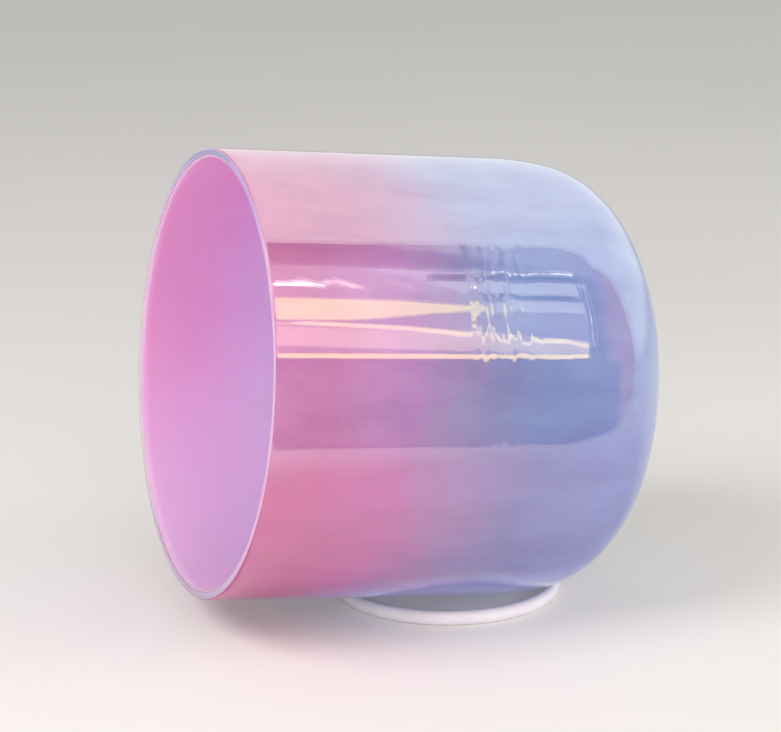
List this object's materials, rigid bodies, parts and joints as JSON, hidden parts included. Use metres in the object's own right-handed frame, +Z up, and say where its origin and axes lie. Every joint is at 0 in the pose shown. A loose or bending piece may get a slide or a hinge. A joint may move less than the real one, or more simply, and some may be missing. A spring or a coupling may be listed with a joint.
{
  "type": "singing bowl",
  "caption": "Clear quartz singing bowl with a frosted colour coat inside, lying on its side on a soft silicone rest ring it lifts off.",
  "frame": {"origin": "middle of the object's overall box, on the surface that the rest ring stands on", "axes": "+Z up; -X the way the bowl's mouth faces; the bowl's axis lies in the XZ plane, tilted about 6 degrees base down; +Y completes the frame"},
  "size_m": [0.2142, 0.203, 0.2165],
  "materials": {
    "clear_quartz": "clear fused quartz, polished outside",
    "frosted_coat": "baked frosted coat, pink at the rim to blue at the base",
    "silicone": "milky silicone, slightly glossy"
  },
  "bodies": {
    "ring": {"rest_ring": "silicone"},
    "bowl": {"quartz_bowl": "clear_quartz", "colour_coat": "frosted_coat"}
  },
  "joints": [
    {"name": "bowl_lift", "type": "slide", "parent": "ring", "child": "bowl", "axis": [0, 0, 1], "range_m": [0, 0.15]}
  ]
}
